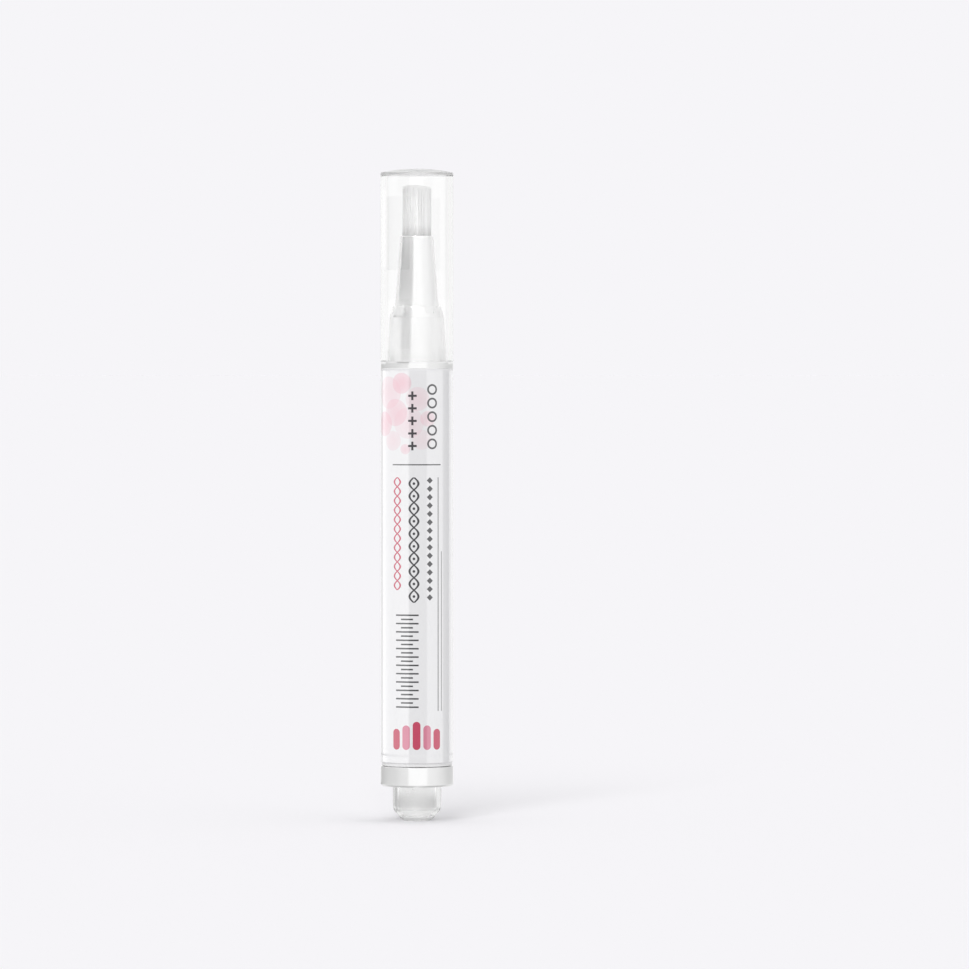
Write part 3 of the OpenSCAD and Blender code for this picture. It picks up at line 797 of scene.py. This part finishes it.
def makeBrush(s):
    draw = random.Random(s["seed"])
    strand = strandMesh(s)
    golden = math.pi * (3 - math.sqrt(5))  # this turn from each strand to the next fills a disc evenly
    root = brushLow.z
    bm = bmesh.new()
    for i in range(s["count"]):
        share = math.sqrt((i + 0.5) / s["count"])
        turn = i * golden + draw.uniform(-s["swirl"], s["swirl"])
        across = Vector((math.cos(turn), math.sin(turn), 0)) * (share * s["bundle"])
        drop = s["dome"] * share ** 3 + s["ragged"] * draw.random() ** 2
        drop += s["slant"] * max(0, across.x / s["bundle"])
        tall = brushHigh.z - root - drop
        lean = Vector((draw.gauss(0, 1), draw.gauss(0, 1), 0)) * s["lean"]
        outward = across * s["splay"] * draw.uniform(s["splayLeast"], 1.0)
        start = len(bm.verts)
        bm.from_mesh(strand)
        bm.verts.ensure_lookup_table()
        for vert in bm.verts[start:]:
            climb = vert.co.z
            offset = across + (lean + outward) * climb ** 2
            reach = offset.length
            if reach > s["bundle"]:
                offset *= s["bundle"] / reach
            vert.co = Vector((vert.co.x + offset.x, vert.co.y + offset.y, root + tall * climb))
    coreTop = brushHigh.z - s["coreShort"]
    bmesh.ops.create_cone(
        bm, cap_ends=True, segments=s["coreSides"], radius1=s["core"], radius2=s["core"],
        depth=coreTop - root, matrix=Matrix.Translation((0, 0, (root + coreTop) / 2)),
    )
    bmesh.ops.recalc_face_normals(bm, faces=bm.faces[:])
    shade(bm, 60 * degree)
    piece = addPiece("brush_bundle", bm)
    dress(piece, "barrel", "bristle", paints["bristle"], "brush_bristles")


makeBrush(brushSet)
print("nozzle and brush made")


# Clear cap with a domed end, rounded at its edge
capSet = {
    "wall": 0.9 * mm, "dome": 1.0 * mm, "edge": 0.25 * mm, "end": 1.2 * mm, "corner": 0.35 * mm,
    "mouth": 0.03 * mm, "arcs": 10, "edgeArcs": 10,
}


def makeCap(s):
    bore = barrelRadius - s["wall"]
    crown = barrelRadius - s["edge"]
    rise = s["dome"] - s["edge"]
    domeRadius = (crown ** 2 + rise ** 2) / (2 * rise)
    centre = capHigh.z - domeRadius
    ceiling = capHigh.z - s["end"]
    outside = []
    for i in range(s["edgeArcs"]):
        turn = i / s["edgeArcs"] * (90 * degree - math.asin(crown / domeRadius))
        reach = crown + s["edge"] * math.cos(turn)
        outside.append((reach, capHigh.z - s["dome"] + s["edge"] * math.sin(turn), 0))
    for i in range(s["arcs"] + 1):
        radius = crown * (1 - i / s["arcs"])
        outside.append((radius, centre + math.sqrt(domeRadius ** 2 - radius ** 2), 0))
    piece = turned("clear_cap", [
        (bore, capLow.z, s["mouth"]),
        (barrelRadius, capLow.z, s["mouth"]),
        *outside,
        (0, ceiling, 0),
        (bore, ceiling, s["corner"]),
    ], steps=256, roundSteps=6)
    keepFlatsFlat(piece)
    dress(piece, "cap", "clear_plastic", paints["clear_cap"], "cap_shell")
    piece.visible_shadow = False


makeCap(capSet)


# Compression springs with closed end turns
springSet = {
    "steps": 32, "sides": 10, "closed": 1.03, "turns": 7,
    "wire": {"return_spring": 0.5 * mm, "rotor_spring": 0.4 * mm},
}


def makeSpring(node, s):
    wire = s["wire"][node]
    turns = s["turns"]
    low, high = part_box(node)
    mean = high.x - wire / 2
    bottom = low.z + wire / 2
    top = high.z - wire / 2
    closed = wire * s["closed"]
    pitch = (top - bottom - 2 * closed) / (turns - 2)
    bm = bmesh.new()
    ends = bmesh.ops.create_circle(bm, cap_ends=False, segments=s["sides"], radius=wire / 2)["verts"]
    bmesh.ops.rotate(bm, cent=(0, 0, 0), matrix=Matrix.Rotation(math.pi / 2, 3, "X"), verts=ends)
    bmesh.ops.translate(bm, vec=(mean, 0, bottom), verts=ends)
    first = bm.edges[:]
    ring = bm.verts[:] + bm.edges[:]
    for rise, count in ((closed, 1), (pitch, turns - 2), (closed, 1)):
        steps = s["steps"] * count
        made = bmesh.ops.spin(
            bm, geom=ring, cent=(0, 0, 0), axis=(0, 0, 1), dvec=(0, 0, rise * count / steps),
            angle=2 * math.pi * count, steps=steps, use_merge=False,
        )
        ring = made["geom_last"]
    bmesh.ops.contextual_create(bm, geom=first)
    bmesh.ops.contextual_create(bm, geom=[item for item in ring if isinstance(item, bmesh.types.BMEdge)])
    bmesh.ops.recalc_face_normals(bm, faces=bm.faces[:])
    shade(bm, 50 * degree)
    piece = addPiece(node + "_wire", bm)
    return dress(piece, "barrel", "spring_steel", paints["spring_steel"], node)


def squeeze(spring):
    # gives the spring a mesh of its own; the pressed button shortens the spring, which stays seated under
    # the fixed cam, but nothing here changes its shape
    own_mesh(spring)


squeeze(makeSpring("return_spring", springSet))
makeSpring("rotor_spring", springSet)
print("cap and springs made")


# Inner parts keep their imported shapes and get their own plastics
innerPaints = {
    # painted light: the core is made lighter where the end collar shades it
    "button_core": "brightened_pearl_core",
    # painted shade: the rear housing shows only in the groove by the end collar
    "rear_housing": "soft_white",
    "drive_sleeve": "white_plastic",
    "fixed_cam": "natural_plastic",
    "ratchet_rotor": "natural_plastic",
    "screw_rod": "natural_plastic",
    "screw_nut": "natural_plastic",
    "tube_plug": "natural_plastic",
    "delivery_tube": "natural_plastic",
    "piston": "soft_white",
    "piston_seals": "seal_rubber",
    "nozzle_seal": "seal_rubber",
}
for node, paint in innerPaints.items():
    repaint(node, paints[paint])
print("inner parts painted:", len(innerPaints))


# Studio: light of a set strength from each direction round the pen, a soft sun, cards and a pale floor
studioSet = {
    "backdrop": (0.9216, 0.9131, 0.9387, 1),
    "around": [
        # direction in degrees, 0 towards the camera and 90 to the right, and the light from there
        (-180, 0.85), (-150, 0.80), (-110, 0.78), (-30, 0.75), (25, 0.75),
        (45, 0.98), (110, 0.98), (130, 0.85), (150, 0.85), (180, 0.85),
    ],
    "mirrored": [
        # the same for what is seen in gloss and through clear plastic
        (-180, 1.04), (-164, 1.03), (-156, 0.66), (-140, 0.60), (-118, 0.68), (-97, 0.74),
        (-72, 0.76), (-64, 0.80), (-56, 0.83), (-42, 0.87), (-28, 0.88), (-25, 1.09),
        (32, 1.09), (35, 0.95), (60, 0.92), (77, 0.87), (95, 0.80), (105, 0.75),
        (116, 0.71), (130, 0.70), (158, 0.72), (166, 1.03), (180, 1.04),
    ],
    "most": 2.0,
    "barrelShows": [
        # cards for the barrel: from and to in mm across it, and the light that shows there
        (-6.99, -6.50, 1.00), (-6.48, -1.50, 2.45), (-1.46, 1.93, 0.30),
        (2.00, 4.95, 1.60), (5.10, 6.12, 0.12), (6.24, 6.87, 1.35),
    ],
    "barrelBands": [
        # low, high and distance: nearer at the ends, so that they show in nothing else
        (11.35, 12.6, 8.0), (12.6, 85.0, 12.0), (85.0, 86.6, 8.0),
    ],
    "cards": [
        # from and to in degrees, low, high, distance and light
        # for the skirt
        (-130, -60, 90.8, 100.5, 30, 0.98),
        (-58, -20.5, 90.8, 100.5, 30, 0.50),
        (62, 130, 90.8, 100.5, 30, 0.98),
        # for the slope, the front of skirt and tip, and the tip's dark side
        (-64, -21.5, 122.5, 170, 80, 0.30),
        (-20.5, 32, 90.8, 122, 30, 1.04),
        (-118, -21.5, 107, 122, 80, 0.16),
        # behind the cap's walls, to the left and to the right
        (-152, -106, 88.6, 107, 30, 0.98),
        (-152, -106, 107, 122, 30, 1.02),
        (-152, -106, 122, 129, 30, 0.98),
        # behind the cap where it is pulled off
        (-180, -92, 129, 185, 30, 1.0),
        (92, 180, 129, 185, 30, 1.0),
        (106, 152, 88.6, 126, 30, 0.94),
        # before the button, lighter from step to step, and behind it
        (-112, 112, -30, 3.6, 12, 0.60),
        (-112, 112, 3.6, 4.3, 12, 0.74),
        (-112, 112, 4.3, 5.0, 12, 0.90),
        (-112, 112, 5.0, 5.7, 12, 1.04),
        (-112, 112, 5.7, 6.5, 12, 1.16),
        (128, 232, -30, 0.3, 30, 0.85),
        (128, 200, 0.3, 5.5, 30, 0.85),
        (200, 232, 0.3, 5.5, 30, 0.50),
    ],
    "cardSteps": 24,
    "floorHalf": 40.0, "floorDrop": 0.02 * mm,
    "sunTurn": -13.0, "sunHeight": 42.0, "sunSize": 26.0, "sun": 1.0,
}


def meanLight(stops):
    # average over the whole turn
    total = 0.0
    for (turnA, lightA), (turnB, lightB) in zip(stops, stops[1:]):
        total += (lightA + lightB) / 2 * (turnB - turnA)
    return total / 360


def makeWorld(s):
    world = bpy.data.worlds.new("studio")
    scene.world = world
    world.use_nodes = True
    light = Finish(world.node_tree)
    direction = Wire(light, light.add("ShaderNodeTexCoord").outputs["Generated"])
    split = light.add("ShaderNodeSeparateXYZ", None, {0: direction})
    x, y, z = (Wire(light, socket) for socket in split.outputs)
    turn = light.math("ARCTAN2", x, y * -1) / (2 * math.pi) + 0.5
    path = light.add("ShaderNodeLightPath")

    def surround(stops):
        ramp = light.add("ShaderNodeValToRGB", {
            "stops": [(place / 360 + 0.5, grey(strength / s["most"])) for place, strength in stops],
        }, {"Fac": turn})
        background = light.add("ShaderNodeBackground", None, {
            "Color": Wire(light, ramp.outputs[0]), "Strength": s["most"],
        })
        return Wire(light, background.outputs[0])

    def choose(kind, without, within):
        ray = Wire(light, path.outputs[kind])
        mixed = light.add("ShaderNodeMixShader", None, {0: ray, 1: without, 2: within})
        return Wire(light, mixed.outputs[0])

    mirrored = surround(s["mirrored"])
    lit = choose("Is Transmission Ray", choose("Is Glossy Ray", surround(s["around"]), mirrored), mirrored)
    behind = light.add("ShaderNodeBackground", None, {"Color": s["backdrop"], "Strength": 1.0})
    both = choose("Is Camera Ray", lit, Wire(light, behind.outputs[0]))
    light.add("ShaderNodeOutputWorld", None, {"Surface": both})


def makeFloor(s):
    # its colour makes the lit floor as bright as the backdrop
    fallen = meanLight(s["around"]) + s["sun"] * math.sin(s["sunHeight"] * degree) / math.pi
    colour = tuple(channel / fallen for channel in s["backdrop"][:3]) + (1,)
    print("floor colour:", [round(channel, 3) for channel in colour])
    bm = bmesh.new()
    bmesh.ops.create_grid(bm, x_segments=1, y_segments=1, size=s["floorHalf"])
    bmesh.ops.translate(bm, vec=(0, 0, -s["floorDrop"]), verts=bm.verts[:])
    floor = addPiece("floor", bm)
    finish = material("floor")
    floor.data.materials.append(feed(finish, BaseColor=colour, Roughness=1.0, SpecularIORLevel=0.0))
    floor.visible_glossy = False
    floor.visible_transmission = False


def makePanels(s):
    # curved cards round the pen, which light nothing and show only in gloss and through clear plastic
    def mirroredAt(across, away):
        # direction of the spot that shows at a place across the barrel, for a card of that distance
        return (2 * math.asin(across * mm / barrelRadius) - math.asin(across / away)) / degree

    cards = list(s["cards"])
    for left, right, strength in s["barrelShows"]:
        for low, high, away in s["barrelBands"]:
            cards.append((mirroredAt(left, away), mirroredAt(right, away), low, high, away, strength))
    for turnA, turnB, low, high, away, strength in cards:
        bm = bmesh.new()
        start = Vector((0, -away * mm, 0))
        start.rotate(Matrix.Rotation(turnA * degree, 3, "Z"))
        ends = [bm.verts.new((start.x, start.y, height * mm)) for height in (low, high)]
        edge = bm.edges.new(ends)
        bmesh.ops.spin(
            bm, geom=[*ends, edge], cent=(0, 0, 0), axis=(0, 0, 1), angle=(turnB - turnA) * degree,
            steps=s["cardSteps"], use_merge=False,
        )
        panel = addPiece("panel", bm)
        finish = material("panel")
        panel.data.materials.append(feed(
            finish, BaseColor=grey(0), SpecularIORLevel=0.0, Roughness=1.0,
            EmissionColor=grey(1), EmissionStrength=strength,
        ))
        panel.visible_camera = False
        panel.visible_diffuse = False
        panel.visible_shadow = False


def makeSun(s):
    data = bpy.data.lights.new("soft_sun", "SUN")
    data.energy = s["sun"]
    data.angle = s["sunSize"] * degree
    sun = bpy.data.objects.new("soft_sun", data)
    scene.collection.objects.link(sun)
    turn = s["sunTurn"] * degree
    rise = s["sunHeight"] * degree
    towards = Vector((math.sin(turn) * math.cos(rise), -math.cos(turn) * math.cos(rise), math.sin(rise)))
    sun.rotation_mode = "QUATERNION"
    sun.rotation_quaternion = towards.to_track_quat("Z", "Y")
    sun.visible_glossy = False


makeWorld(studioSet)
makeFloor(studioSet)
makeSun(studioSet)
makePanels(studioSet)
print("studio lit")
